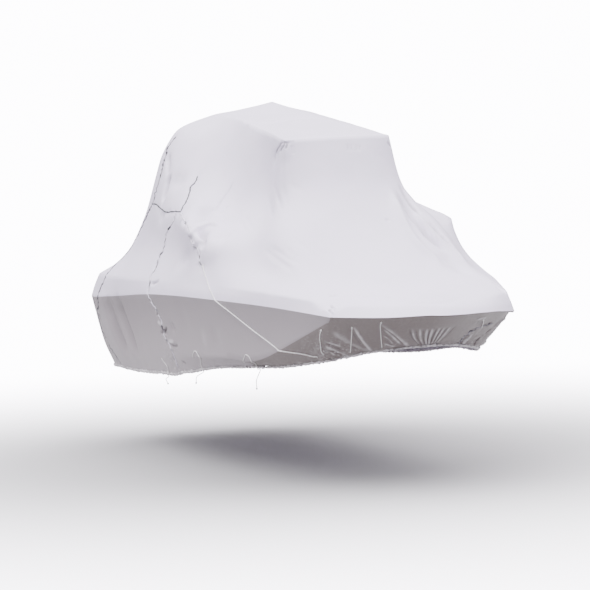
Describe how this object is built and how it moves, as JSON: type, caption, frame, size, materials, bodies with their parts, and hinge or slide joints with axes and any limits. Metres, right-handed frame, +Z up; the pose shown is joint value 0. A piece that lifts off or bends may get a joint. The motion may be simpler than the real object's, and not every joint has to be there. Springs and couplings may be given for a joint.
{
  "type": "fitted boat cover",
  "caption": "Fitted white film cover for a sport boat on its trailer, hollow, with a tented top, a drawn-in waist, a rail band and a tied skirt.",
  "frame": {"origin": "under the top, where the middle hoop carries the film, on the boat's centre line", "axes": "+X towards the bow, +Y to port, +Z up"},
  "size_m": [6.0154, 2.5274, 2.3933],
  "materials": {
    "film": "satin",
    "cord": "woven"
  },
  "bodies": {
    "root": {"main_film": "film", "quarter_film": "film", "stern_film": "film", "side_cord": "cord", "hem_tie_1": "cord", "hem_tie_2": "cord", "hem_tie_3": "cord", "bow_tie_1": "cord", "bow_tie_2": "cord", "bow_tie_3": "cord", "bow_tie_4": "cord"}
  },
  "joints": []
}
